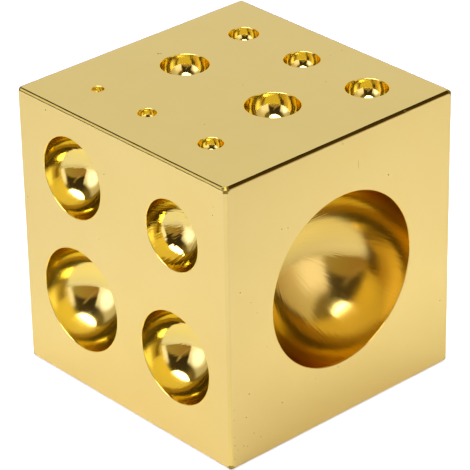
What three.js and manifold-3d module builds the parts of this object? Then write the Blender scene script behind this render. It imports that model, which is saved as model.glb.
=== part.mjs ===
// A six-sided dapping block: one solid piece of polished brass with round cavities cut into every face.
// A disc of sheet metal is laid over a cavity and driven into it with a ball-ended punch, which domes it.
// Millimetres, +Z up, with the origin at the middle of the bottom face.
import * as THREE from "three";
import { ConvexGeometry } from "three/addons/geometries/ConvexGeometry.js";
import { mergeVertices, toCreasedNormals } from "three/addons/utils/BufferGeometryUtils.js";
import Module from "manifold-3d";

const wasm = await Module();
wasm.setup();

// The block, a little off a true cube, as its faces were ground
const blockWidth = 49.6; // along X
const blockDepth = 48.8; // along Y
const blockHeight = 50; // along Z
const edgeBreak = 0.42; // bevel ground along every edge

// What all the cavities share
const rimBreak = 0.12; // small bevel polished round each mouth
const chordTolerance = 0.055; // how far a flat facet may lie inside the true round
const cutOverrun = 2; // how far a cutter stands out of the face that it cuts
const weldDistance = 0.0001; // points closer than this are one point

// Each cavity is a plunge cut with a ball-ended cutter: a hemisphere, under a short straight wall where the
// cutter went deeper. Its diameter is the cutter's, in whole millimetres, as punches are. On each face the
// middle of the cutter's ball goes down to one depth. A cavity's middle lies at shares of the face's own width
// and height, counted from the middle of the face: across to the right and up, as a person facing that face
// sees it.
const topNearLeft = { diameter: 2, acrossShare: -0.3, upShare: -0.322 };
const topNearMiddle = { diameter: 3, acrossShare: -0.059, upShare: -0.322 };
const topNearRight = { diameter: 4, acrossShare: 0.241, upShare: -0.322 };
const topMiddleLeft = { diameter: 8, acrossShare: -0.242, upShare: 0.004 };
const topMiddleRight = { diameter: 9, acrossShare: 0.178, upShare: 0.004 };
const topFarLeft = { diameter: 5, acrossShare: -0.284, upShare: 0.309 };
const topFarMiddle = { diameter: 6, acrossShare: -0.003, upShare: 0.309 };
const topFarRight = { diameter: 7, acrossShare: 0.299, upShare: 0.309 };
const topCuts = {
  ballDepth: 0.4,
  cavities: [
    topNearLeft,
    topNearMiddle,
    topNearRight,
    topMiddleLeft,
    topMiddleRight,
    topFarLeft,
    topFarMiddle,
    topFarRight,
  ],
};

const frontUpperLeft = { diameter: 14, acrossShare: -0.237, upShare: 0.265 };
const frontUpperRight = { diameter: 12, acrossShare: 0.245, upShare: 0.245 };
const frontLowerLeft = { diameter: 18, acrossShare: -0.22, upShare: -0.173 };
const frontLowerRight = { diameter: 16, acrossShare: 0.243, upShare: -0.193 };
const frontCuts = {
  ballDepth: 0,
  cavities: [frontUpperLeft, frontUpperRight, frontLowerLeft, frontLowerRight],
};

const rightMiddle = { diameter: 30, acrossShare: 0, upShare: 0 };
const rightCuts = { ballDepth: 0.3, cavities: [rightMiddle] };

const backUpperLeft = { diameter: 17, acrossShare: -0.24, upShare: 0.235 };
const backUpperRight = { diameter: 15, acrossShare: 0.245, upShare: 0.25 };
const backLowerLeft = { diameter: 13, acrossShare: -0.25, upShare: -0.25 };
const backLowerRight = { diameter: 11, acrossShare: 0.255, upShare: -0.22 };
const backMiddle = { diameter: 10, acrossShare: 0.015, upShare: -0.015 };
const backCuts = {
  ballDepth: 0,
  cavities: [backUpperLeft, backUpperRight, backLowerLeft, backLowerRight, backMiddle],
};

const leftMiddle = { diameter: 26, acrossShare: 0, upShare: 0 };
const leftCuts = { ballDepth: 0.3, cavities: [leftMiddle] };

const bottomLowerLeft = { diameter: 22, acrossShare: -0.186, upShare: -0.178 };
const bottomUpperRight = { diameter: 20, acrossShare: 0.176, upShare: 0.17 };
const bottomCuts = { ballDepth: 0.4, cavities: [bottomLowerLeft, bottomUpperRight] };

// The six faces. Each has its middle, the directions across and up it, and its width and height.
const middleHeight = blockHeight / 2;
const faces = [
  {
    cuts: topCuts,
    middle: new THREE.Vector3(0, 0, blockHeight),
    across: new THREE.Vector3(1, 0, 0),
    up: new THREE.Vector3(0, 1, 0),
    width: blockWidth,
    height: blockDepth,
  },
  {
    cuts: bottomCuts,
    middle: new THREE.Vector3(0, 0, 0),
    across: new THREE.Vector3(1, 0, 0),
    up: new THREE.Vector3(0, -1, 0),
    width: blockWidth,
    height: blockDepth,
  },
  {
    cuts: frontCuts,
    middle: new THREE.Vector3(0, -blockDepth / 2, middleHeight),
    across: new THREE.Vector3(1, 0, 0),
    up: new THREE.Vector3(0, 0, 1),
    width: blockWidth,
    height: blockHeight,
  },
  {
    cuts: backCuts,
    middle: new THREE.Vector3(0, blockDepth / 2, middleHeight),
    across: new THREE.Vector3(-1, 0, 0),
    up: new THREE.Vector3(0, 0, 1),
    width: blockWidth,
    height: blockHeight,
  },
  {
    cuts: rightCuts,
    middle: new THREE.Vector3(blockWidth / 2, 0, middleHeight),
    across: new THREE.Vector3(0, 1, 0),
    up: new THREE.Vector3(0, 0, 1),
    width: blockDepth,
    height: blockHeight,
  },
  {
    cuts: leftCuts,
    middle: new THREE.Vector3(-blockWidth / 2, 0, middleHeight),
    across: new THREE.Vector3(0, -1, 0),
    up: new THREE.Vector3(0, 0, 1),
    width: blockDepth,
    height: blockHeight,
  },
];

// A closed three.js geometry as a solid that can be cut.
function solidFrom(geometry) {
  const bare = new THREE.BufferGeometry();
  bare.setAttribute("position", geometry.getAttribute("position"));
  bare.setIndex(geometry.index);
  const merged = mergeVertices(bare, weldDistance);
  const mesh = new wasm.Mesh({
    numProp: 3,
    vertProperties: merged.getAttribute("position").array,
    triVerts: new Uint32Array(merged.index.array),
  });
  return new wasm.Manifold(mesh);
}

// A solid as a three.js geometry, smooth in the cavities and sharp at the edges.
function geometryFrom(solid) {
  const mesh = solid.getMesh();
  const geometry = new THREE.BufferGeometry();
  geometry.setAttribute("position", new THREE.BufferAttribute(mesh.vertProperties, 3));
  geometry.setIndex(new THREE.BufferAttribute(mesh.triVerts, 1));
  const creaseAngle = THREE.MathUtils.degToRad(25);
  return toCreasedNormals(geometry, creaseAngle);
}

// The bare block: at each corner, three points stand back along the edges by the bevel.
function bevelledBlock() {
  const half = new THREE.Vector3(blockWidth, blockDepth, blockHeight).divideScalar(2);
  const points = [];
  for (const x of [-1, 1]) {
    for (const y of [-1, 1]) {
      for (const z of [-1, 1]) {
        const sides = new THREE.Vector3(x, y, z);
        for (const axis of ["x", "y", "z"]) {
          const inset = half.clone().subScalar(edgeBreak);
          inset[axis] = half[axis];
          inset.multiply(sides);
          inset.z += middleHeight;
          points.push(inset);
        }
      }
    }
  }
  return new ConvexGeometry(points);
}

// Sides of a round of this radius, in fours, so that no facet lies further in than the tolerance.
function sidesOfRound(radius) {
  const quarter = Math.PI / 4 / Math.acos(1 - chordTolerance / radius);
  return 4 * Math.ceil(quarter);
}

// A ball-ended cutter that stands on the face, pointing down into it along -Y. The face lies at y = 0.
function cutter(diameter, ballDepth) {
  const radius = diameter / 2;
  const sides = sidesOfRound(radius);
  const ringsOfBall = sides / 4;
  // The ball ends where it is widest, or at the rim's bevel if it reaches that first.
  const angleAtBevel = Math.acos((rimBreak - ballDepth) / radius);
  const angleOfBall = Math.min(Math.PI / 2, angleAtBevel);
  const profile = [];
  for (let ring = 0; ring <= ringsOfBall; ring++) {
    const angle = (angleOfBall * ring) / ringsOfBall;
    profile.push(new THREE.Vector2(radius * Math.sin(angle), -ballDepth - radius * Math.cos(angle)));
  }
  profile[0].x = 0;
  if (ballDepth > rimBreak) {
    profile.push(new THREE.Vector2(radius, -rimBreak));
  }
  profile.push(new THREE.Vector2(radius + rimBreak, 0));
  profile.push(new THREE.Vector2(radius + rimBreak, cutOverrun));
  profile.push(new THREE.Vector2(0, cutOverrun));
  return new THREE.LatheGeometry(profile, sides);
}

// The cutters of one face, each turned and moved to its own place.
function cuttersOf(face) {
  const outward = new THREE.Vector3().crossVectors(face.across, face.up);
  // The cutter's axis is +Y, so +Y goes outward, +X across the face and +Z down it.
  const turn = new THREE.Matrix4().makeBasis(face.across, outward, face.up.clone().negate());
  return face.cuts.cavities.map((cavity) => {
    const place = face.middle
      .clone()
      .addScaledVector(face.across, cavity.acrossShare * face.width)
      .addScaledVector(face.up, cavity.upShare * face.height);
    const shape = cutter(cavity.diameter, face.cuts.ballDepth);
    return shape.applyMatrix4(turn.clone().setPosition(place));
  });
}

const polishedBrass = new THREE.MeshStandardMaterial({
  color: 0xecd486,
  metalness: 1,
  roughness: 0.1,
});

let block = solidFrom(bevelledBlock());
for (const face of faces) {
  for (const shape of cuttersOf(face)) {
    block = block.subtract(solidFrom(shape));
  }
}

const dappingBlock = new THREE.Mesh(geometryFrom(block), polishedBrass);
dappingBlock.name = "dapping_block";

const part = new THREE.Group();
part.add(dappingBlock);

export default part;
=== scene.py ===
import math
import random

import bmesh
import bpy
from mathutils import Matrix, Vector, noise


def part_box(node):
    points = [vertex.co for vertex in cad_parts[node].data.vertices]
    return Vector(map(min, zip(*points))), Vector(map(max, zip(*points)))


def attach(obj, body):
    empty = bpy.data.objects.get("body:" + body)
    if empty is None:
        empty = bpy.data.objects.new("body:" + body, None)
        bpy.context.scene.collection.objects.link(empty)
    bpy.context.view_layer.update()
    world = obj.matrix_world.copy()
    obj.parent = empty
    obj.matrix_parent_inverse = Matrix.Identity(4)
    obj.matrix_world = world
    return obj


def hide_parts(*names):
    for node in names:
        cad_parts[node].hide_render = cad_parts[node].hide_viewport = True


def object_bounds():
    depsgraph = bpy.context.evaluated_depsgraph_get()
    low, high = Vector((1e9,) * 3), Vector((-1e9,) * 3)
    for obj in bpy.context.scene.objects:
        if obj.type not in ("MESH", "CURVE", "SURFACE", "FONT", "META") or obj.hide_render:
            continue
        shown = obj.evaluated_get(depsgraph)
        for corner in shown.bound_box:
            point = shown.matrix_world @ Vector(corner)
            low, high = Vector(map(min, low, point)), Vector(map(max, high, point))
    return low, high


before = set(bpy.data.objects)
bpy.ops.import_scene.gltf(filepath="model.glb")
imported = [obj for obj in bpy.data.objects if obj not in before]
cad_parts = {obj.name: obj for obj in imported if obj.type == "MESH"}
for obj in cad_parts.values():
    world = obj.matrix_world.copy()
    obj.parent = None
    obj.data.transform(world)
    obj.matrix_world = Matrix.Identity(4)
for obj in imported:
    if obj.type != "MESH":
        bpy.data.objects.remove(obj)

cadLow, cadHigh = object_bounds()
mm = 0.001


def directionTo(azimuth, elevation):
    # Unit vector to a place round the block. Azimuth 0 is in front (-Y), 90 is on the right (+X).
    turn = math.radians(azimuth)
    lift = math.radians(elevation)
    level = math.cos(lift)
    return Vector((math.sin(turn) * level, -math.cos(turn) * level, math.sin(lift)))


# Camera
cameraSettings = {
    "azimuth": 48.088,
    "elevation": 28.597,
    "roll": -1.10,
    "aim": (0.336, -0.662, 23.73),  # mm, the point in the middle of the picture
    "distance": 472.8,  # mm from that point
    "lens": 221.94,  # mm
    "sensor": 36.0,  # mm wide
}


def makeCamera(settings):
    back = directionTo(settings["azimuth"], settings["elevation"])
    level = (-back).cross(Vector((0, 0, 1))).normalized()
    upright = level.cross(-back)
    roll = math.radians(settings["roll"])
    right = level * math.cos(roll) + upright * math.sin(roll)
    up = upright * math.cos(roll) - level * math.sin(roll)
    aim = Vector(settings["aim"]) * mm
    place = aim + back * settings["distance"] * mm
    data = bpy.data.cameras.new("camera")
    data.lens = settings["lens"]
    data.sensor_width = settings["sensor"]
    data.clip_start = 0.01
    data.clip_end = 20.0
    camera = bpy.data.objects.new("camera", data)
    turned = Matrix((right, up, back)).transposed().to_4x4()
    camera.matrix_world = Matrix.Translation(place) @ turned
    bpy.context.collection.objects.link(camera)
    bpy.context.scene.camera = camera


makeCamera(cameraSettings)
print("camera placed")


# Brass
def fillSocket(tree, socket, value):
    # Links an output to the input socket, or gives the input a value of its own.
    if isinstance(value, bpy.types.NodeSocket):
        tree.links.new(value, socket)
    else:
        socket.default_value = value


def addNode(tree, kind, inputs=None, **options):
    node = tree.nodes.new(kind)
    for name, value in options.items():
        setattr(node, name, value)
    for name, value in (inputs or {}).items():
        fillSocket(tree, node.inputs[name], value)
    return node


def newMaterial(name):
    material = bpy.data.materials.new(name)
    material.use_nodes = True
    material.node_tree.nodes.clear()
    return material, material.node_tree


def calculated(tree, operation, *values):
    # Arithmetic on numbers, such as ADD or SINE
    inputs = dict(enumerate(values))
    return addNode(tree, "ShaderNodeMath", inputs, operation=operation).outputs["Value"]


def vectorMath(tree, operation, *values):
    node = addNode(tree, "ShaderNodeVectorMath", dict(enumerate(values)), operation=operation)
    givesNumber = operation in ("LENGTH", "DISTANCE", "DOT_PRODUCT")
    return node.outputs["Value" if givesNumber else "Vector"]


def mixColours(tree, share, first, second, blend="MIX"):
    node = addNode(tree, "ShaderNodeMix", {"Factor": share}, data_type="RGBA", blend_type=blend)
    colourInputs = [socket for socket in node.inputs if socket.type == "RGBA"]
    colourOutputs = [socket for socket in node.outputs if socket.type == "RGBA"]
    fillSocket(tree, colourInputs[0], first)
    fillSocket(tree, colourInputs[1], second)
    return colourOutputs[0]


def eased(tree, value, start, end, most=1.0):
    # 0 at the start and the most at the end, with a smooth curve between them
    return addNode(
        tree,
        "ShaderNodeMapRange",
        {"Value": value, "From Min": start, "From Max": end, "To Max": most},
        interpolation_type="SMOOTHSTEP",
    ).outputs["Result"]


def spread(tree, value, low, high):
    # A noise value, which mostly lies between 0.3 and 0.7, stretched over low to high.
    return addNode(
        tree,
        "ShaderNodeMapRange",
        {"Value": value, "From Min": 0.3, "From Max": 0.7, "To Min": low, "To Max": high},
    ).outputs["Result"]


def noiseOver(tree, place, factors, detail):
    # Noise that is finer along an axis by that axis's factor
    vector = vectorMath(tree, "MULTIPLY", place, factors)
    return addNode(
        tree, "ShaderNodeTexNoise", {"Vector": vector, "Scale": 1.0, "Detail": detail}
    ).outputs["Fac"]


def patches(tree, place, size, detail):
    # Noise in patches of about this size, in mm
    return noiseOver(tree, place, (1 / (size * mm),) * 3, detail)


def relief(tree, height, depth, under=None):
    # A bump whose full height is depth, in mm, over another one.
    inputs = {"Height": height, "Distance": depth * mm, "Strength": 1.0}
    if under is not None:
        inputs["Normal"] = under
    return addNode(tree, "ShaderNodeBump", inputs).outputs["Normal"]


def finishBrass(tree, inputs):
    brass = addNode(tree, "ShaderNodeBsdfPrincipled", {"Metallic": 1.0, **inputs})
    addNode(tree, "ShaderNodeOutputMaterial", {"Surface": brass.outputs["BSDF"]})


faceBrass = {
    "colour": (0.84, 0.66, 0.175, 1),
    "warmColour": (0.825, 0.64, 0.162, 1),  # where the polish wandered
    "cloudSize": 9.0,  # mm, patches of the one and the other
    "roughness": (0.015, 0.05),  # in the one and the other
    "grainAcross": 14.0,  # lines to a mm, across the way that the face was polished
    "grainAlong": 0.5,  # the same along it
    "grainDepth": 0.00004,  # mm
    "waveSize": 5.0,  # mm, slow waves left by the buff
    "waveDepth": 0.0006,  # mm
}
bevelBrass = {**faceBrass, "colour": (0.87, 0.69, 0.145, 1), "warmColour": (0.85, 0.67, 0.135, 1)}


def faceMaterial(name, look):
    material, tree = newMaterial(name)
    place = addNode(tree, "ShaderNodeTexCoord").outputs["Object"]
    cloud = patches(tree, place, look["cloudSize"], detail=4.0)
    across, along = look["grainAcross"] / mm, look["grainAlong"] / mm
    grain = noiseOver(tree, place, (across, across, along), detail=2.0)
    wave = patches(tree, place, look["waveSize"], detail=1.0)
    waved = relief(tree, wave, look["waveDepth"])
    warmth = spread(tree, cloud, 0.0, 1.0)
    finishBrass(
        tree,
        {
            "Base Color": mixColours(tree, warmth, look["colour"], look["warmColour"]),
            "Roughness": spread(tree, cloud, *look["roughness"]),
            "Normal": relief(tree, grain, look["grainDepth"], waved),
        },
    )
    return material


# How each kind of bowl was finished. A noise has three factors, to a radius: two for how fine it is round
# the bowl and one for how fine it is down it.
bowlColours = {
    "colour": (0.905, 0.71, 0.14, 1),
    "edgeTint": (1.0, 0.95, 0.0, 1),  # at a grazing angle
}
bowlBrass = {
    "mirror": {
        **bowlColours,
        "roughness": (0.03, 0.06),
        "rimRoughness": 0.08,  # added towards the mouth, where the buff reached less
        "anisotropy": 0.3,
        "strokes": (3.0, 3.0, 60.0),  # fine marks that run round the bowl
        "strokeDepth": 0.0002,  # mm
        "chatter": (15.0, 15.0, 3.0),  # marks that run down the wall
        "chatterDepth": 0.008,  # mm
    },
    "chattered": {
        **bowlColours,
        "roughness": (0.01, 0.04),
        "rimRoughness": 0.04,
        "anisotropy": 0.3,
        "strokes": (3.0, 3.0, 40.0),
        "strokeDepth": 0.0004,
        "chatter": (16.0, 16.0, 2.0),
        "chatterDepth": 0.034,
    },
    "soft": {
        **bowlColours,
        "roughness": (0.06, 0.10),
        "rimRoughness": 0.08,
        "anisotropy": 0.4,
        "strokes": (3.0, 3.0, 60.0),
        "strokeDepth": 0.0005,
        "chatter": (12.0, 12.0, 3.0),
        "chatterDepth": 0.0008,
    },
    "satin": {
        **bowlColours,
        "colour": (0.83, 0.60, 0.105, 1),
        "roughness": (0.14, 0.18),
        "rimRoughness": -0.02,  # smoother towards the mouth
        "anisotropy": 0.5,
        "strokes": (6.0, 6.0, 70.0),
        "strokeDepth": 0.002,
        "chatter": (24.0, 24.0, 3.0),
        "chatterDepth": 0.018,
    },
}
bowlClouds = (2.5, 2.5, 3.0)  # patches of its roughness
rimZone = (1.0, 0.1)  # radii below the mouth, from no rimRoughness to all of it
turnedUv = "turned"  # U runs round a cavity and V down into it


def bowlMaterial(name, look):
    material, tree = newMaterial(name)
    uv = addNode(tree, "ShaderNodeUVMap", uv_map=turnedUv).outputs["UV"]
    split = addNode(tree, "ShaderNodeSeparateXYZ", {"Vector": uv})
    turn = calculated(tree, "MULTIPLY", split.outputs["X"], 2 * math.pi)
    # Round the cavity without a seam, and down it
    place = addNode(
        tree,
        "ShaderNodeCombineXYZ",
        {
            "X": calculated(tree, "COSINE", turn),
            "Y": calculated(tree, "SINE", turn),
            "Z": split.outputs["Y"],
        },
    ).outputs["Vector"]
    strokes = noiseOver(tree, place, look["strokes"], detail=2.0)
    chatter = noiseOver(tree, place, look["chatter"], detail=2.0)
    cloud = noiseOver(tree, place, bowlClouds, detail=3.0)
    chattered = relief(tree, chatter, look["chatterDepth"])
    nearRim = eased(tree, split.outputs["Y"], *rimZone, look["rimRoughness"])
    tangent = addNode(tree, "ShaderNodeTangent", direction_type="UV_MAP", uv_map=turnedUv)
    finishBrass(
        tree,
        {
            "Base Color": look["colour"],
            "Specular Tint": look["edgeTint"],
            "Roughness": calculated(tree, "ADD", spread(tree, cloud, *look["roughness"]), nearRim),
            "Anisotropic": look["anisotropy"],
            "Anisotropic Rotation": 0.25,  # a quarter of a turn
            "Tangent": tangent.outputs["Tangent"],
            "Normal": relief(tree, strokes, look["strokeDepth"], chattered),
        },
    )
    return material


# Dark, dull brass in the pits, on the worn corners and where the bevels meet the top face
pitBrass = {
    "colour": (0.16, 0.09, 0.03, 1),
    "paleColour": (0.24, 0.15, 0.05, 1),  # in patches where it is paler
    "edgeTint": (0.8, 0.6, 0.3, 1),
    "roughness": (0.35, 0.55),
}
cornerBrass = {
    "colour": (0.20, 0.13, 0.01, 1),
    "paleColour": (0.42, 0.31, 0.05, 1),
    "edgeTint": (0.5, 0.35, 0.05, 1),
    "roughness": (0.25, 0.4),
}
# Painted shade: the roundings where the bevels meet the top face are coloured nearly black, which draws
# the dark line along those edges
arrisPaintedShade = {
    "colour": (0.02, 0.010, 0.0, 1),
    "paleColour": (0.09, 0.055, 0.0, 1),
    "edgeTint": (0.3, 0.2, 0.0, 1),
    "roughness": (0.2, 0.4),
}
dullPatchSize = 0.9  # mm, patches of darker and paler colour


def dullMaterial(name, look):
    material, tree = newMaterial(name)
    place = addNode(tree, "ShaderNodeTexCoord").outputs["Object"]
    cloud = patches(tree, place, dullPatchSize, detail=2.0)
    paleShare = spread(tree, cloud, 0.0, 1.0)
    finishBrass(
        tree,
        {
            "Base Color": mixColours(tree, paleShare, look["colour"], look["paleColour"]),
            "Specular Tint": look["edgeTint"],
            "Roughness": spread(tree, cloud, *look["roughness"]),
        },
    )
    return material


materials = {
    "face": faceMaterial("facePolish", faceBrass),
    "bevel": faceMaterial("bevelPolish", bevelBrass),
}
for finish, look in bowlBrass.items():
    materials[finish] = bowlMaterial(finish + "Bowl", look)
materials["pit"] = dullMaterial("darkPit", pitBrass)
# painted shade: a nearly black colour on the roundings along the top edges
materials["arris"] = dullMaterial("paintedShadeArris", arrisPaintedShade)
materials["corner"] = dullMaterial("wornCorner", cornerBrass)
materialOrder = list(materials)
print("brass mixed")


# Block
blockSettings = {
    "edgeBreak": 0.42,  # mm, bevel ground along every edge
    "arris": 0.10,  # mm, rounding where the bevel meets a face
    "arrisSteps": 3,
    "edgeStations": 120,  # cuts along each edge, so that its wear can vary
    "longEdge": 10,  # mm, an edge of the mesh longer than this is cut so
    "edgeReach": 1.5,  # bevel widths under a face, down to which a point belongs to its edge
    "edgeWear": 0.10,  # share by which the bevel's width wanders
    "edgeWearLength": 3.0,  # mm
    "cornerWear": 0.12,  # share by which the corners are worn back further
    "cornerEvenWear": 0.6,  # how much of that has no noise in it
    "cornerWearLength": 0.25,  # mm
    "frontSlope": (0.28, 0.92),  # shares of the top front bevel's width on the top and the front face
    "frontArris": (2.2, 1.0),  # how many times wider its roundings are there
    "nickDepth": 0.4,  # share by which a nick widens the bevel
    "nickSize": 0.11,  # mm, the unit of the next two
    "nickFlat": 1.5,  # how far from its middle a nick is at its deepest
    "nickEnd": 4,  # and how far it reaches
    "rimRound": 0.12,  # mm, rounding of each cavity's mouth
    "rimSteps": 5,
    "wallSteps": 2,
    "fewestSides": 12,  # of a quarter of a cavity's round
    "sidesToMm": 1.2,  # how many more that quarter has to each mm of the diameter
}

# A cavity is its cutter's diameter in mm, its place in shares of the face's width and height from the
# middle, across to the right and up as a person facing that face sees it, and its finish. The middle of
# the cutter's ball goes down to the ball depth, in mm.
cavities = {
    "top": {
        "ballDepth": 0.4,
        "cuts": [
            (2, -0.300, -0.322, "mirror"),
            (3, -0.059, -0.322, "mirror"),
            (4, 0.241, -0.322, "mirror"),
            (8, -0.242, 0.004, "mirror"),
            (9, 0.178, 0.004, "mirror"),
            (5, -0.284, 0.309, "mirror"),
            (6, -0.003, 0.309, "mirror"),
            (7, 0.299, 0.309, "mirror"),
        ],
    },
    "front": {
        "ballDepth": 0.0,
        "cuts": [
            (14, -0.237, 0.265, "mirror"),
            (12, 0.245, 0.245, "chattered"),
            (18, -0.220, -0.173, "soft"),
            (16, 0.243, -0.193, "mirror"),
        ],
    },
    "right": {"ballDepth": 0.3, "cuts": [(30, 0.0, 0.0, "satin")]},
    "back": {
        "ballDepth": 0.0,
        "cuts": [
            (17, -0.240, 0.235, "soft"),
            (15, 0.245, 0.250, "mirror"),
            (13, -0.250, -0.250, "mirror"),
            (11, 0.255, -0.220, "mirror"),
            (10, 0.015, -0.015, "mirror"),
        ],
    },
    "left": {"ballDepth": 0.3, "cuts": [(26, 0.0, 0.0, "satin")]},
    "bottom": {
        "ballDepth": 0.4,
        "cuts": [(22, -0.186, -0.178, "soft"), (20, 0.176, 0.170, "soft")],
    },
}

# The directions across and up each face
faceDirections = {
    "top": (Vector((1, 0, 0)), Vector((0, 1, 0))),
    "bottom": (Vector((1, 0, 0)), Vector((0, -1, 0))),
    "front": (Vector((1, 0, 0)), Vector((0, 0, 1))),
    "back": (Vector((-1, 0, 0)), Vector((0, 0, 1))),
    "right": (Vector((0, 1, 0)), Vector((0, 0, 1))),
    "left": (Vector((0, -1, 0)), Vector((0, 0, 1))),
}


def faceFrame(name, low, high):
    # Middle of a face, the directions across, up and out of it, and its width and height.
    across, up = faceDirections[name]
    outward = across.cross(up)
    centre = (low + high) / 2
    size = high - low
    middle = centre + outward * abs(outward.dot(size)) / 2
    return middle, (across, up, outward), abs(across.dot(size)), abs(up.dot(size))


def depthsUnderFaces(offset, half):
    # How deep a point lies under the nearer face along each axis, from its offset to the block's middle
    return [half[axis] - abs(offset[axis]) for axis in range(3)]


# Nicks in the edges, in mm from the middle of the bottom face: two along the top of the front, two
# along the top of the right face, one between these two faces, and five at the left and the back
nicks = [
    (5.5, -24.4, 50),
    (10.0, -24.4, 50),
    (24.8, -11.5, 50),
    (24.8, 13.5, 50),
    (24.8, -24.4, 11),
    (-24.8, 8.0, 50),
    (-6.0, 24.4, 50),
    (15.5, 24.4, 50),
    (-24.8, 24.4, 31),
    (24.8, 24.4, 17),
]


def wearShare(point, atCorner, settings):
    # How many times wider than the plain bevel the worn one is at this point
    share = 1 + settings["edgeWear"] * noise.noise(point / (settings["edgeWearLength"] * mm))
    if atCorner:
        rough = noise.noise(point / (settings["cornerWearLength"] * mm))
        share += settings["cornerWear"] * (settings["cornerEvenWear"] + rough)
    for nick in nicks:
        away = (point - Vector(nick) * mm).length / (settings["nickSize"] * mm)
        if away < settings["nickEnd"]:
            beyond = max(0, away - settings["nickFlat"])
            share += settings["nickDepth"] * math.exp(-0.5 * beyond ** 2)
    return share


def wearEdges(bm, low, high, settings):
    # The bevel's width wanders: a point moves away from the sharp edge or corner that it stands for.
    centre = (low + high) / 2
    half = (high - low) / 2
    reach = settings["edgeReach"] * settings["edgeBreak"] * mm
    for vert in bm.verts:
        offset = vert.co - centre
        depths = depthsUnderFaces(offset, half)
        share = wearShare(vert.co, max(depths) < reach, settings)
        if offset.z > 0 > offset.y and depths[1] < reach and depths[2] < reach < depths[0]:
            # The bevel along the top of the front is steeper than the others
            for axis, slope, wider in zip((1, 2), settings["frontSlope"], settings["frontArris"]):
                beyond = max(0, depths[axis] - settings["edgeBreak"] * mm)
                depths[axis] = (depths[axis] - beyond) * slope + beyond * wider
        for axis in range(3):
            if depths[axis] < reach:
                offset[axis] = math.copysign(half[axis] - depths[axis] * share, offset[axis])
        vert.co = centre + offset


# What tells the faces of the worn edges apart: how deep they lie, in bevel widths, and the range of one
# part of their normal
edgeZones = {
    "corner": 1.9,  # how far a worn corner reaches along its edges
    "top": 1.6,  # how far the edges of the top face reach down
    "bevel": (0.66, 0.745),  # the normal's largest part, as a bevel lies at 45 degrees
    "topArris": (0.77, 0.998),  # its upward part, on the rounding between a bevel and the top face
    "frontBevel": (0.2, 0.4),  # its upward part, on the steep bevel along the top of the front
    "frontArris": (0.03, 0.998),  # and on the roundings on both sides of that one
}


def isWithin(value, zone):
    return zone[0] < value < zone[1]


def kindOfEdgeFace(face, centre, half, edgeBreak):
    offset = face.calc_center_median() - centre
    depths = depthsUnderFaces(offset, half)
    if max(depths) < edgeZones["corner"] * edgeBreak:
        return "corner"
    atTop = offset.z > 0 and depths[2] < edgeZones["top"] * edgeBreak
    atTopFront = atTop and offset.y < 0 and depths[1] < edgeBreak
    tilt = face.normal.z
    if atTopFront:
        isBevel = isWithin(tilt, edgeZones["frontBevel"])
        isArris = isWithin(tilt, edgeZones["frontArris"])
    else:
        isBevel = isWithin(max(abs(part) for part in face.normal), edgeZones["bevel"])
        isArris = atTop and isWithin(tilt, edgeZones["topArris"])
    if isBevel:
        return "bevel"
    return "arris" if isArris else "face"


def shellOfBlock(low, high, settings):
    # The bevelled edges and corners of the block, with the six big faces left open.
    bm = bmesh.new()
    bmesh.ops.create_cube(bm, size=1.0)
    bmesh.ops.scale(bm, vec=high - low, verts=bm.verts)
    bmesh.ops.translate(bm, vec=(low + high) / 2, verts=bm.verts)
    for width, steps in ((settings["edgeBreak"], 1), (settings["arris"], settings["arrisSteps"])):
        bmesh.ops.bevel(
            bm,
            geom=bm.edges[:],
            offset=width * mm,
            offset_type="OFFSET",
            segments=steps,
            profile=0.5,
            affect="EDGES",
        )
    bigFaces = sorted(bm.faces, key=lambda face: -face.calc_area())[:6]
    bmesh.ops.delete(bm, geom=bigFaces, context="FACES_ONLY")
    longEdges = [edge for edge in bm.edges if edge.calc_length() > settings["longEdge"] * mm]
    bmesh.ops.subdivide_edges(bm, edges=longEdges, cuts=settings["edgeStations"], use_grid_fill=True)
    wearEdges(bm, low, high, settings)
    bm.normal_update()
    for face in bm.faces:
        kind = kindOfEdgeFace(face, (low + high) / 2, (high - low) / 2, settings["edgeBreak"] * mm)
        face.smooth = kind in ("face", "arris")
        face.material_index = materialOrder.index(kind)
    return bm


def edgesOfRing(bm, ring):
    return [bm.edges.get(pair) for pair in zip(ring, ring[1:] + ring[:1])]


def cavityProfile(diameter, ballDepth, settings, ballSteps):
    # (radius, depth) from the face inward, in mm: rounded mouth, any straight wall, then the ball.
    radius = diameter / 2
    edge = settings["rimRound"]
    profile = []
    for step in range(settings["rimSteps"]):
        angle = math.pi / 2 * step / settings["rimSteps"]
        profile.append((radius + edge - edge * math.sin(angle), edge - edge * math.cos(angle)))
    wall = max(0.0, ballDepth - edge)
    wallSteps = settings["wallSteps"] if wall > 0 else 0
    for step in range(wallSteps):
        profile.append((radius, edge + wall * step / wallSteps))
    topOfBall = math.asin(max(0.0, edge - ballDepth) / radius)
    for step in range(ballSteps):
        angle = topOfBall + (math.pi / 2 - topOfBall) * step / ballSteps
        profile.append((radius * math.cos(angle), ballDepth + radius * math.sin(angle)))
    return profile, ballDepth + radius


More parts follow.
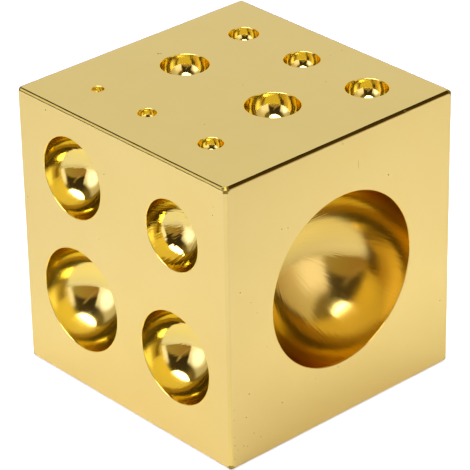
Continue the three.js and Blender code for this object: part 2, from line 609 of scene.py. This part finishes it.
def addCavity(bm, uvLayer, spot, axes, diameter, ballDepth, finish, settings):
    # Rings of faces from the mouth down to one point. Gives back the edges of the mouth.
    across, up, outward = axes
    ballSteps = round(settings["fewestSides"] + settings["sidesToMm"] * diameter)
    sides = 4 * ballSteps
    profile, bottom = cavityProfile(diameter, ballDepth, settings, ballSteps)
    rings = []
    for radius, depth in profile:
        ring = []
        for side in range(sides):
            angle = 2 * math.pi * side / sides
            sideways = across * math.cos(angle) + up * math.sin(angle)
            ring.append(bm.verts.new(spot + (sideways * radius - outward * depth) * mm))
        rings.append(ring)
    pole = bm.verts.new(spot - outward * bottom * mm)
    # How far down the wall each ring lies
    lengths = [0.0]
    for (r0, d0), (r1, d1) in zip(profile, profile[1:] + [(0, bottom)]):
        lengths.append(lengths[-1] + math.hypot(r1 - r0, d1 - d0))
    for row, ring in enumerate(rings):
        above, below = lengths[row], lengths[row + 1]
        for side in range(sides):
            nextSide = (side + 1) % sides
            corners = [ring[side], ring[nextSide]]
            uvs = [(side, above), (side + 1, above)]
            if row == len(rings) - 1:
                corners.append(pole)
                uvs.append((side + 0.5, below))
            else:
                corners += [rings[row + 1][nextSide], rings[row + 1][side]]
                uvs += [(side + 1, below), (side, below)]
            face = bm.faces.new(corners)
            face.smooth = True
            face.material_index = materialOrder.index(finish)
            for loop, (u, v) in zip(face.loops, uvs):
                loop[uvLayer].uv = (u / sides, v / (diameter / 2))
    return edgesOfRing(bm, rings[0])


# Pits and scratches in mm: across and up from the middle of the face, length and width, and the turn in
# degrees
marks = {
    "top": [
        (-18, 0, 0.75, 0.34, 48),
        (0.2, 1.7, 0.2, 0.16, 20),
        (8.6, 12, 0.22, 0.18, 70),
        (6.4, -12, 0.22, 0.2, 0),
        (2, 19.5, 0.3, 0.12, 40),
        (2, 22, 0.26, 0.12, 40),
        (-0.8, -13, 0.7, 0.06, 48),
    ],
    "front": [
        (-17.6, 23.3, 0.24, 0.2, 0),
        (-3.6, 17, 0.2, 0.14, 60),
        (-5.5, 4.7, 0.14, 0.12, 0),
        (21.8, 19.5, 0.26, 0.14, 80),
        (-23.5, 5.5, 0.2, 0.14, 0),
        (22, 21, 0.14, 0.1, 0),
    ],
    "right": [
        (10, 15, 0.26, 0.22, 0),
        (3.4, 19.2, 1.7, 0.05, 88),
        (0, 24, 0.2, 0.16, 0),
        (-13, 14, 0.26, 0.14, 70),
        (-11.7, 13.7, 0.34, 0.12, 75),
        (-21.8, 6.3, 0.24, 0.2, 0),
        (-19.6, 3.7, 0.16, 0.12, 0),
        (-18.4, 1.4, 0.16, 0.12, 0),
        (-16.4, -5.5, 0.16, 0.12, 0),
        (-20.3, -12.4, 0.24, 0.2, 30),
        (-13.3, -17, 0.26, 0.2, 10),
        (-1, -15.6, 0.2, 0.12, 0),
        (-6, -15.6, 0.16, 0.12, 0),
        (-21, -16.4, 0.3, 0.14, 10),
        (-19.4, -20, 0.2, 0.16, 60),
        (-18, -21.3, 0.2, 0.14, 30),
        (-21.6, -21.4, 0.2, 0.16, 0),
        (-20.8, -21.8, 0.16, 0.14, 0),
        (22.3, -12.7, 0.22, 0.16, 0),
        (-23.6, -14, 0.22, 0.1, 90),
        (-23.6, -15.8, 0.2, 0.12, 90),
        (-23.6, -19, 0.16, 0.1, 90),
        (-23.5, -20.5, 0.3, 0.14, 80),
        (-22.9, -21.6, 0.16, 0.14, 0),
        (-23.6, -23, 0.24, 0.1, 90),
    ],
}
# The same on the hidden faces, placed by chance, in mm
strayMarks = {
    "seed": 7,
    "count": 9,
    "length": (0.12, 0.3),
    "width": (0.08, 0.16),
    "keepOff": 0.6,  # between a mark and a cavity or another mark
    "edgeMargin": 1.5,
}
pitShape = {
    "sides": 10,
    "innerShare": 0.7,  # where its wall ends, as a share of its length and width
    "wallDepth": 0.3,  # the depth there, as a share of its width
    "depth": 0.4,  # the depth in the middle, as a share of its width
}


def strayMarksOf(cuts, width, height, draw):
    # Small pits anywhere on a face but not in a cavity or at an edge
    margins = 2 * strayMarks["edgeMargin"]
    places = []
    while len(places) < strayMarks["count"]:
        across = draw.uniform(-0.5, 0.5) * (width / mm - margins)
        up = draw.uniform(-0.5, 0.5) * (height / mm - margins)
        length = draw.uniform(*strayMarks["length"])
        wide = min(length, draw.uniform(*strayMarks["width"]))
        turn = draw.uniform(0, 180)
        gaps = [
            math.hypot(across - cutAcross * width / mm, up - cutUp * height / mm) - diameter / 2
            for diameter, cutAcross, cutUp, finish in cuts
        ]
        gaps += [math.hypot(across - place[0], up - place[1]) for place in places]
        if min(gaps) > strayMarks["keepOff"]:
            places.append((across, up, length, wide, turn))
    return places


def addPit(bm, spot, axes, length, width, turn):
    # A shallow oval pit: a lip ring, a wall ring and a bottom point. Gives back the edges of the lip.
    across, up, outward = axes
    sides = pitShape["sides"]
    angle = math.radians(turn)
    along = across * math.cos(angle) + up * math.sin(angle)
    aside = up * math.cos(angle) - across * math.sin(angle)
    rings = []
    for share, depth in ((1.0, 0.0), (pitShape["innerShare"], pitShape["wallDepth"] * width)):
        ring = []
        for side in range(sides):
            bearing = 2 * math.pi * side / sides
            sideways = along * length * math.cos(bearing) + aside * width * math.sin(bearing)
            ring.append(bm.verts.new(spot + (sideways * share / 2 - outward * depth) * mm))
        rings.append(ring)
    lip, inner = rings
    bottom = bm.verts.new(spot - outward * pitShape["depth"] * width * mm)
    for side in range(sides):
        nextSide = (side + 1) % sides
        for corners in (
            [lip[side], lip[nextSide], inner[nextSide], inner[side]],
            [inner[side], inner[nextSide], bottom],
        ):
            face = bm.faces.new(corners)
            face.smooth = True
            face.material_index = materialOrder.index("pit")
    return edgesOfRing(bm, lip)


def makeBlock(low, high, settings):
    draw = random.Random(strayMarks["seed"])
    bm = shellOfBlock(low, high, settings)
    uvLayer = bm.loops.layers.uv.new(turnedUv)
    sameHeight = 1e-7  # m
    for name, facts in cavities.items():
        middle, axes, width, height = faceFrame(name, low, high)
        across, up, outward = axes
        border = [
            edge
            for edge in bm.edges
            if edge.is_boundary
            and all(abs((vert.co - middle).dot(outward)) < sameHeight for vert in edge.verts)
        ]
        for diameter, cutAcross, cutUp, finish in facts["cuts"]:
            spot = middle + across * cutAcross * width + up * cutUp * height
            border += addCavity(bm, uvLayer, spot, axes, diameter, facts["ballDepth"], finish, settings)
        faceMarks = marks.get(name) or strayMarksOf(facts["cuts"], width, height, draw)
        for markAcross, markUp, *oval in faceMarks:
            spot = middle + (across * markAcross + up * markUp) * mm
            border += addPit(bm, spot, axes, *oval)
        filled = bmesh.ops.triangle_fill(bm, use_beauty=True, edges=border, normal=outward)
        for part in filled["geom"]:
            if isinstance(part, bmesh.types.BMFace):
                part.smooth = False
                for loop in part.loops:
                    offset = loop.vert.co - middle
                    loop[uvLayer].uv = (offset.dot(across) / width, offset.dot(up) / height)
    bmesh.ops.recalc_face_normals(bm, faces=bm.faces)
    mesh = bpy.data.meshes.new("block")
    bm.to_mesh(mesh)
    bm.free()
    for key in materialOrder:
        mesh.materials.append(materials[key])
    piece = bpy.data.objects.new("block", mesh)
    bpy.context.collection.objects.link(piece)
    return piece


blockLow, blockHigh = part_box("dapping_block")
block = makeBlock(Vector(blockLow), Vector(blockHigh), blockSettings)
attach(block, "root")
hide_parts("dapping_block")
print("block made:", len(block.data.polygons), "faces")


# Floor, cards and world
floorSettings = {
    "size": 8.0,  # m
    "depths": (0.02, 0.03),  # mm under the block, of the sheet that the camera sees and the other
    # Painted light and shade: the share of light that it gives back close to the block, at its left and
    # its right side
    "nearPaintedLight": ((0.845, 0.835, 0.77, 1), (0.97, 0.965, 0.90, 1)),
    "farPaintedLight": ((0.80, 0.80, 0.80, 1), (0.92, 0.92, 0.92, 1)),  # the same further out
    "near": (0.03, 0.08),  # m from the block's middle, over which the tone changes
    "rightWay": (0.707, 0.707, 0.0),  # to the right in the picture
    "sides": (-0.03, 0.03),  # m along that way, over which the left tone becomes the right one
    "glow": 0.6,  # what the floor that the camera sees gets on top, so that it comes out white
    "cameraPaintedShade": 0.74,  # painted shade: the share for the mirrored floor towards the camera, darker there
    "cameraFrom": (0.005, 0.065),  # m from the block's middle, over which that tone comes in
    "coolGlow": (0.0, 0.0, 0.26, 1),  # a cool light on the mirrored floor there
    "coolFrom": (0.045, 0.08),  # m
    "farGlow": (0.34, 0.33, 0.44, 1),  # what it gets far out, where the overhead light is weak
    "farFrom": (0.05, 0.8),  # m
    "softboxGlow": (0.30, 0.34, 0.80, 1),  # and what it gets in front of the left softbox
    "softboxWay": -11,  # degrees
    "softboxSpread": (0.86, 0.985),  # cosines of the angles beside that way, from none to all
    "softboxFrom": (0.12, 0.5),  # m
}

# A card is a curved patch of light round the block. Its sides are azimuths and elevations in degrees,
# and its distance is in m. Its light is given at the bottom left, bottom right, top left and top right
# corner. It may lean to the right at its top and rise at its right side, both in degrees. Its left,
# right, lower and upper sides fade softly over shares of its width and height. A round card is an oval
# that fades by one share.
cards = {
    "darkRoom": {
        "azimuths": (-68, 164),
        "elevations": (-3, 90),
        "distance": 3.4,
        "light": ((0.14, 0.08, 0.013), (0.20, 0.13, 0.052), (0.20, 0.16, 0.13), (0.22, 0.17, 0.10)),
        "soft": (0.04, 0.04, 0.01, 0.02),
    },
    "ceiling": {
        "azimuths": (-20, 76),
        "elevations": (16, 62),
        "distance": 3.2,
        "light": (
            (0.04, 0.028, 0.026),
            (0.05, 0.032, 0.013),
            (0.04, 0.03, 0.039),
            (0.05, 0.035, 0.026),
        ),
        "soft": (0.35, 0.2, 0.15, 0.1),
    },
    "leftWall": {
        "azimuths": (-52, 15),
        "elevations": (-5, 56),
        "distance": 3.0,
        "light": ((0.46, 0.38, 0.42), (1.40, 1.36, 2.54), (0.50, 0.44, 0.52), (0.74, 0.72, 1.25)),
        "rise": -15,
        "soft": (0.16, 0.05, 0.05, 0.2),
    },
    "leftSoftbox": {
        "azimuths": (-34, 12),
        "elevations": (-10, 44),
        "distance": 2.6,
        "light": ((1.5, 1.6, 3.64), (1.7, 1.8, 4.29), (1.5, 1.55, 3.51), (1.7, 1.75, 4.16)),
        "round": 0.6,
    },
    "rightWall": {
        "azimuths": (65, 146),
        "elevations": (-3, 42),
        "distance": 3.0,
        "light": ((1.14, 1.03, 1.54), (0.42, 0.28, 0.21), (0.80, 0.71, 0.90), (0.60, 0.53, 0.57)),
        "rise": 28,
        "soft": (0.05, 0.12, 0.02, 0.14),
    },
    "rightSoftbox": {
        "azimuths": (64, 114),
        "elevations": (-12, 48),
        "distance": 2.6,
        "light": ((1.20, 1.13, 2.05),) * 4,
        "soft": (0.12, 0.5, 0.1, 0.4),
    },
    "warmCard": {
        "azimuths": (7, 73),
        "elevations": (-26, 30),
        "distance": 2.4,
        "light": ((0.38, 0.18, 0.08), (0.36, 0.33, 0.21), (0.30, 0.17, 0.10), (0.42, 0.33, 0.20)),
        "round": 0.28,
    },
    "stand": {
        "azimuths": (9, 17),
        "elevations": (2, 40),
        "distance": 2.2,
        "light": ((0.40, 0.25, 0.12), (0.40, 0.25, 0.12), (0.44, 0.35, 0.38), (0.44, 0.35, 0.38)),
        "lean": 33,
        "soft": (0.4, 0.4, 0.2, 0.15),
    },
    "darkFlagRight": {
        "azimuths": (136, 172),
        "elevations": (6, 56),
        "distance": 2.4,
        "light": ((0.06, 0.035, 0.013),) * 4,
        "soft": (0.08, 0.3, 0.2, 0.2),
    },
}
cardGrid = (24, 16)  # columns and rows of its faces
# The one flat card, level above the block
overhead = {
    "middle": (0.022, -0.090, 0.30),  # m from the block's middle
    "size": (0.29, 0.21),  # m
    "light": ((7.1, 7.1, 10.6),) * 4,
    "round": 0.1,
}
worldTone = (0.82, 0.80, 0.96)


def maskOfOval(tree, uv, fade):
    # 1 in the middle of a card and 0 at the oval that fits its sides
    away = vectorMath(tree, "DISTANCE", uv, (0.5, 0.5, 0.0))
    return eased(tree, away, 0.5, 0.5 * (1 - fade))


def maskOfSides(tree, x, y, soft):
    # 0 at the sides of a card and 1 further in
    left, right, lower, upper = soft
    mask = eased(tree, x, 0.0, left)
    for along, start, end in ((x, 1.0, 1.0 - right), (y, 0.0, lower), (y, 1.0, 1.0 - upper)):
        mask = calculated(tree, "MULTIPLY", mask, eased(tree, along, start, end))
    return mask


def cardMaterial(name, card):
    material, tree = newMaterial(name)
    uv = addNode(tree, "ShaderNodeUVMap", uv_map="card").outputs["UV"]
    split = addNode(tree, "ShaderNodeSeparateXYZ", {"Vector": uv})
    x, y = split.outputs["X"], split.outputs["Y"]
    if "round" in card:
        mask = maskOfOval(tree, uv, card["round"])
    else:
        mask = maskOfSides(tree, x, y, card["soft"])
    corners = [(*tone, 1) for tone in card["light"]]
    if len(set(corners)) == 1:
        light = corners[0]
    else:
        lower = mixColours(tree, x, corners[0], corners[1])
        upper = mixColours(tree, x, corners[2], corners[3])
        light = mixColours(tree, y, lower, upper)
    glow = addNode(tree, "ShaderNodeEmission", {"Color": light}).outputs["Emission"]
    clear = addNode(tree, "ShaderNodeBsdfTransparent").outputs["BSDF"]
    both = addNode(tree, "ShaderNodeMixShader", {0: mask, 1: clear, 2: glow}).outputs["Shader"]
    addNode(tree, "ShaderNodeOutputMaterial", {"Surface": both})
    return material


def gridMesh(name, placeOf, columns, rows):
    # A sheet of faces whose points come from shares across and up it.
    bm = bmesh.new()
    uvLayer = bm.loops.layers.uv.new("card")
    grid = [
        [bm.verts.new(placeOf(column / columns, row / rows)) for column in range(columns + 1)]
        for row in range(rows + 1)
    ]
    for row in range(rows):
        for column in range(columns):
            corners = [(row, column), (row, column + 1), (row + 1, column + 1), (row + 1, column)]
            face = bm.faces.new([grid[r][c] for r, c in corners])
            for loop, (r, c) in zip(face.loops, corners):
                loop[uvLayer].uv = (c / columns, r / rows)
    mesh = bpy.data.meshes.new(name)
    bm.to_mesh(mesh)
    bm.free()
    return mesh


def addStagePiece(name, mesh, material, seenByCamera):
    mesh.materials.append(material)
    piece = bpy.data.objects.new(name, mesh)
    bpy.context.collection.objects.link(piece)
    piece.visible_camera = seenByCamera
    return piece


def makeCard(name, card, middle):
    azimuthLow, azimuthHigh = card["azimuths"]
    elevationLow, elevationHigh = card["elevations"]

    def placeOf(u, v):
        width = azimuthHigh - azimuthLow
        azimuth = (azimuthLow + azimuthHigh) / 2 + (u - 0.5) * width + card.get("lean", 0) * v
        height = elevationHigh + card.get("rise", 0) * u - elevationLow
        return middle + directionTo(azimuth, elevationLow + height * v) * card["distance"]

    mesh = gridMesh(name, placeOf, *cardGrid)
    addStagePiece(name, mesh, cardMaterial(name, card), False)


def makeOverhead(settings, middle):
    centre = middle + Vector(settings["middle"])
    width, length = settings["size"]

    def placeOf(u, v):
        return centre + Vector(((u - 0.5) * width, (v - 0.5) * length, 0))

    mesh = gridMesh("overhead", placeOf, 1, 1)
    addStagePiece("overhead", mesh, cardMaterial("overhead", settings), False)


def grey(level):
    return (level, level, level, 1)


def mirroredLook(tree, settings, place, away, tone):
    # The tone and the glow of the sheet that the brass mirrors, from the tone of the other sheet, with
    # painted shade towards the camera and painted light in its glows
    towards = vectorMath(tree, "DOT_PRODUCT", place, directionTo(cameraSettings["azimuth"], 0))
    nearCamera = eased(tree, towards, *settings["cameraFrom"])
    tone = mixColours(tree, nearCamera, tone, grey(settings["cameraPaintedShade"]))
    coolShare = eased(tree, towards, *settings["coolFrom"])
    cool = mixColours(tree, coolShare, grey(0), settings["coolGlow"])
    glow = mixColours(tree, eased(tree, away, *settings["farFrom"]), cool, settings["farGlow"])
    way = vectorMath(tree, "NORMALIZE", place)
    sameWay = vectorMath(tree, "DOT_PRODUCT", way, directionTo(settings["softboxWay"], 0))
    besideWay = eased(tree, sameWay, *settings["softboxSpread"])
    farEnough = eased(tree, away, *settings["softboxFrom"])
    share = calculated(tree, "MULTIPLY", besideWay, farEnough)
    return tone, mixColours(tree, share, glow, settings["softboxGlow"], "ADD")


def floorMaterial(name, settings, seenByCamera):
    material, tree = newMaterial(name)
    place = addNode(tree, "ShaderNodeTexCoord").outputs["Object"]
    away = vectorMath(tree, "LENGTH", place)
    rightward = vectorMath(tree, "DOT_PRODUCT", place, settings["rightWay"])
    side = eased(tree, rightward, *settings["sides"])
    # Painted light and shade: the tone is set lighter or darker near the block and from its left to its
    # right side
    near = mixColours(tree, side, *settings["nearPaintedLight"])
    far = mixColours(tree, side, *settings["farPaintedLight"])
    tone = mixColours(tree, eased(tree, away, *settings["near"]), near, far)
    glow = grey(settings["glow"])
    if not seenByCamera:
        tone, glow = mirroredLook(tree, settings, place, away, tone)
    paper = addNode(
        tree,
        "ShaderNodeBsdfPrincipled",
        {
            "Base Color": tone,
            "Roughness": 1.0,
            "Specular IOR Level": 0.0,
            "Emission Color": glow,
            "Emission Strength": 1.0,
        },
    )
    addNode(tree, "ShaderNodeOutputMaterial", {"Surface": paper.outputs["BSDF"]})
    return material


def makeFloor(name, settings, depth, seenByCamera):
    half = settings["size"] / 2
    mesh = bpy.data.meshes.new(name)
    corners = [(-half, -half, 0), (half, -half, 0), (half, half, 0), (-half, half, 0)]
    mesh.from_pydata(corners, [], [(0, 1, 2, 3)])
    floor = addStagePiece(name, mesh, floorMaterial(name, settings, seenByCamera), seenByCamera)
    floor.location.z = -depth * mm
    floor.visible_glossy = not seenByCamera
    floor.visible_diffuse = not seenByCamera
    floor.visible_shadow = not seenByCamera


# The floor is two sheets of the same paper: one that the camera sees and one that the brass mirrors.
seenDepth, mirroredDepth = floorSettings["depths"]
makeFloor("floor", floorSettings, seenDepth, True)
makeFloor("floorInMirror", floorSettings, mirroredDepth, False)
blockMiddle = (cadLow + cadHigh) / 2
for cardName, cardFacts in cards.items():
    makeCard(cardName, cardFacts, blockMiddle)
makeOverhead(overhead, blockMiddle)

world = bpy.data.worlds.new("studio")
world.use_nodes = True
bpy.context.scene.world = world
background = world.node_tree.nodes["Background"]
background.inputs["Color"].default_value = (*worldTone, 1)
print("floor and cards placed")

# How the picture is made
scene = bpy.context.scene
scene.view_settings.view_transform = "Standard"
scene.cycles.use_denoising = True
scene.cycles.max_bounces = 14
scene.cycles.glossy_bounces = 12
scene.cycles.diffuse_bounces = 4
scene.cycles.caustics_reflective = True
